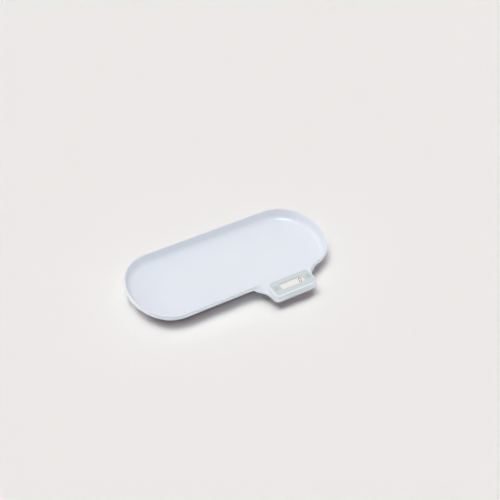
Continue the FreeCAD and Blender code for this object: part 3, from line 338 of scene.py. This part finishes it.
def clear_plastic(name):
    """Clear window: glass for the eye, and let through for what lights the display under it."""
    material, n, place = new_material(name)
    glass = n.add("ShaderNodeBsdfPrincipled", Roughness=WINDOW_ROUGHNESS, IOR=WINDOW_IOR)
    glass.inputs["Base Color"].default_value = linear(WINDOW_GLASS)
    glass.inputs["Transmission Weight"].default_value = 1.0
    ripple = n.noise(place, RIPPLE_SCALE, RIPPLE_DETAIL)
    n.bump(glass, ripple, RIPPLE_STRENGTH, RIPPLE_DEPTH)
    clear = n.add("ShaderNodeBsdfTransparent", Color=linear(WINDOW_CLEAR))
    path = n.add("ShaderNodeLightPath")
    lit = n.add("ShaderNodeMath", operation="MAXIMUM")
    n.link(path.outputs["Is Shadow Ray"], lit.inputs[0])
    n.link(path.outputs["Is Diffuse Ray"], lit.inputs[1])
    mix = n.add("ShaderNodeMixShader")
    n.link(lit.outputs[0], mix.inputs[0])
    n.link(glass.outputs[0], mix.inputs[1])
    n.link(clear.outputs[0], mix.inputs[2])
    show(n, mix)
    return material


def battery_cell(node, nub):
    """Printed jacket with a pale band near the nub, and the bare can at both ends.

    nub is 1 where the battery's nub points to +X and -1 where it points to -X."""
    low, high = (corner[0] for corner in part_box(node))
    can, jacket, pale = linear(CAN_COLOUR), linear(JACKET_COLOUR), linear(PALE_COLOUR)
    colours = [(0.0, can), (JACKET_START, jacket), (PALE_START, pale), (NUB_START, can)]
    metals = [(0.0, BARE), (JACKET_START, PRINTED), (NUB_START, BARE)]
    material, n, place = new_material(node + "_jacket")
    shader = n.add("ShaderNodeBsdfPrincipled")
    axis = n.add("ShaderNodeSeparateXYZ")
    n.link(place, axis.inputs[0])
    along = n.add("ShaderNodeMapRange")
    along.inputs["From Min"].default_value = low if nub > 0 else high
    along.inputs["From Max"].default_value = high if nub > 0 else low
    n.link(axis.outputs["X"], along.inputs["Value"])
    for socket, bands in (("Base Color", colours), ("Metallic", metals)):
        ramp = n.add("ShaderNodeValToRGB")
        ramp.color_ramp.interpolation = "CONSTANT"
        ramp.color_ramp.elements[0].color = bands[0][1]
        ramp.color_ramp.elements[1].position, ramp.color_ramp.elements[1].color = bands[-1]
        for start, value in bands[1:-1]:
            ramp.color_ramp.elements.new(start).color = value
        n.link(along.outputs["Result"], ramp.inputs[0])
        n.link(ramp.outputs["Color"], shader.inputs[socket])
    fine = n.noise(place, JACKET_GRAIN_SCALE, JACKET_GRAIN_DETAIL)
    n.vary_roughness(shader, fine, JACKET_GLOSS_LOW, JACKET_GLOSS_HIGH)
    show(n, shader)
    return material


def make_materials():
    """Materials by slot, and by node for the batteries, whose bands follow their own place."""
    made = {name: plastic(name, *look, **other) for name, (*look, other) in PLASTICS.items()}
    made.update({name: metal(name, *look) for name, look in METALS.items()})
    made.update({node: battery_cell(node, nub) for node, nub in BATTERY_NUBS.items()})
    made["clear_acrylic"] = clear_plastic("clear_acrylic")
    return made


def dress_nodes(materials):
    """Gives every CAD node the material of its slot, or the one made for that node."""
    for part in frame["record"]["subparts"]:
        name = part["node"]
        node = frame["nodes"][name]
        node.data.materials.clear()
        node.data.materials.append(materials.get(name) or materials[part["material_slot"]])


# ---------------------------------------------------------------- mesh helpers
def build(name, points, faces, material=None):
    mesh = bpy.data.meshes.new(name)
    mesh.from_pydata(points, [], faces)
    mesh.validate()
    if material:
        mesh.materials.append(material)
    return add_object(name, mesh)


def tube(first, count):
    """Faces of a closed tube between two rings of count points that start at point first."""
    ring = range(count)
    faces = [
        (first + i, first + (i + 1) % count, first + count + (i + 1) % count, first + count + i)
        for i in ring
    ]
    faces.append(tuple(first + i for i in reversed(ring)))
    faces.append(tuple(first + count + i for i in ring))
    return faces


def prisms(outlines, low, high):
    """Points and faces of upright prisms on closed outlines, each point (x, y)."""
    points, faces = [], []
    for outline in outlines:
        faces += tube(len(points), len(outline))
        points += [(x, y, height) for height in (low, high) for x, y in outline]
    return points, faces


def bar(x0, y0, x1, y1):
    return [(x0, y0), (x1, y0), (x1, y1), (x0, y1)]


def moved(outline, dx, dy):
    return [(x + dx, y + dy) for x, y in outline]


def segment(start, end, width):
    """Six-sided segment of a digit between two points, pointed at both ends."""
    (x0, y0), (x1, y1) = start, end
    length = math.hypot(x1 - x0, y1 - y0)
    ux, uy = (x1 - x0) / length, (y1 - y0) / length
    h = width / 2
    ax, ay, bx, by = x0 + ux * h, y0 + uy * h, x1 - ux * h, y1 - uy * h
    nx, ny = -uy * h, ux * h
    return [
        (x0, y0), (ax - nx, ay - ny), (bx - nx, by - ny),
        (x1, y1), (bx + nx, by + ny), (ax + nx, ay + ny),
    ]


def ring_arc(inner, outer, start, sweep, steps):
    """Quads of a flat ring, or of a part of one, about the origin."""
    turns = [start + sweep * i / steps for i in range(steps + 1)]
    return [
        [
            (r * math.cos(t), r * math.sin(t))
            for t, r in ((a, inner), (a, outer), (b, outer), (b, inner))
        ]
        for a, b in zip(turns, turns[1:])
    ]


def cross(reach, half):
    """Outline of a cross recess, counterclockwise."""
    points = []
    for turn in range(4):
        for x, y in ((reach, -half), (reach, half), (half, half)):
            for _ in range(turn):
                x, y = -y, x
            points.append((x, y))
    return points


# ---------------------------------------------------------------- pieces
def zero_digit(material):
    """The digit 0 that the display shows: six slanted segments in the glass's upper face."""
    w, h = (DIGIT_WIDTH - DIGIT_STROKE) / 2, (DIGIT_HEIGHT - DIGIT_STROKE) / 2
    gap = DIGIT_GAP
    lines = [
        ((-w + gap, h), (w - gap, h)), ((-w + gap, -h), (w - gap, -h)),
        ((-w, gap), (-w, h - gap)), ((-w, -h + gap), (-w, -gap)),
        ((w, gap), (w, h - gap)), ((w, -h + gap), (w, -gap)),
    ]
    outlines = [
        [
            (DIGIT_CENTRE[0] + x + y * math.tan(DIGIT_SLANT), DIGIT_CENTRE[1] + y)
            for x, y in segment(start, end, DIGIT_STROKE)
        ]
        for start, end in lines
    ]
    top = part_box("lcd_glass")[1][2]
    shape = prisms(outlines, top - PRINT_SUNK, top + DIGIT_PROUD)
    piece = build("display_zero", *shape, material)
    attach(piece, "scale_body")


def button_icons_and_shade_rings(material):
    """Two bars printed on the left cap, the on and off sign on the right one, and round both a
    ring of painted shade for the dark gap round the cap.
    """
    bars = [
        bar(x - BAR_HALF_WIDTH, -BAR_HALF_LENGTH, x + BAR_HALF_WIDTH, BAR_HALF_LENGTH)
        for x in (-BAR_FROM_MIDDLE, BAR_FROM_MIDDLE)
    ]
    start, sweep = math.pi / 2 + POWER_HALF_GAP, 2 * (math.pi - POWER_HALF_GAP)
    power = ring_arc(POWER_INNER, POWER_OUTER, start, sweep, POWER_STEPS)
    power.append(bar(-STROKE_HALF_WIDTH, STROKE_LOW, STROKE_HALF_WIDTH, STROKE_HIGH))
    # A ring of painted shade on the cap's top, standing in for the dark gap round the cap.
    shade_ring = ring_arc(SHADE_RING_INNER, SHADE_RING_OUTER, 0.0, 2 * math.pi, SHADE_RING_STEPS)
    for side, strokes in (("left", bars), ("right", power)):
        low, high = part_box(side + "_button_cap")
        x, y, top = (low[0] + high[0]) / 2, (low[1] + high[1]) / 2, high[2]
        outlines = [moved(outline, x, y) for outline in strokes + shade_ring]
        shape = prisms(outlines, top - PRINT_SUNK, top + PRINT_PROUD)
        piece = build(side + "_button_icon_and_shade_ring", *shape, material)
        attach(piece, side + "_button")


def grip_ribs(material):
    """Three rounded ribs in the finger grip of the battery door."""
    low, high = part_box("battery_door")
    centre = (high[0] - GRIP_FROM_END, (low[1] + high[1]) / 2)
    bottom = low[2] + GRIP_DEPTH
    turns = [math.pi * i / RIB_STEPS for i in range(RIB_STEPS + 1)]
    section = [(math.cos(t) * RIB_WIDTH / 2, -math.sin(t) * RIB_HEIGHT) for t in turns]
    section += [(-RIB_WIDTH / 2, PRINT_SUNK), (RIB_WIDTH / 2, PRINT_SUNK)]
    section.reverse()
    points, faces = [], []
    for x in (-RIB_PITCH, 0.0, RIB_PITCH):
        half = math.sqrt((GRIP_RADIUS - RIB_WIDTH) ** 2 - x * x)
        faces += tube(len(points), len(section))
        for y in (-half, half):
            points += [(centre[0] + x + dx, centre[1] + y, bottom + dz) for dx, dz in section]
    piece = build("door_grip_ribs", points, faces, material)
    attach(piece, "battery_door")


def board_screw_places():
    """Middle of each board screw's lower face: the screws stand at the corners of their box."""
    low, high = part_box("board_screws")
    r = BOARD_HEAD_RADIUS
    return [(x, y, low[2]) for x in (low[0] + r, high[0] - r) for y in (low[1] + r, high[1] - r)]


def cross_recesses():
    """Cuts a tapered cross recess into the head of every screw, with a hidden cutter."""
    for node, places, reach, depth in (
        ("case_screws", CASE_SCREWS, CASE_REACH, CASE_DEPTH),
        ("board_screws", board_screw_places(), BOARD_REACH, BOARD_DEPTH),
    ):
        outline = cross(reach, reach * ARM_HALF_WIDTH)
        points, faces = [], []
        for x, y, z in places:
            faces += tube(len(points), len(outline))
            for height, width in ((z - CUTTER_BELOW, MOUTH_WIDTH), (z + depth, END_WIDTH)):
                points += [(x + px * width, y + py * width, height) for px, py in outline]
        cutter = build(node + "_cutter", points, faces)
        cutter.hide_render = True
        cutter.hide_viewport = True
        cut = frame["nodes"][node].modifiers.new("recess", "BOOLEAN")
        cut.operation, cut.solver, cut.object = "DIFFERENCE", "EXACT", cutter


make_camera()
make_world()
make_lights(make_floor())
materials = make_materials()
dress_nodes(materials)
zero_digit(materials["lcd_ink"])
button_icons_and_shade_rings(materials["print_and_shade_grey"])
grip_ribs(materials["cover_abs"])
cross_recesses()

bpy.context.scene.view_settings.view_transform = "Standard"
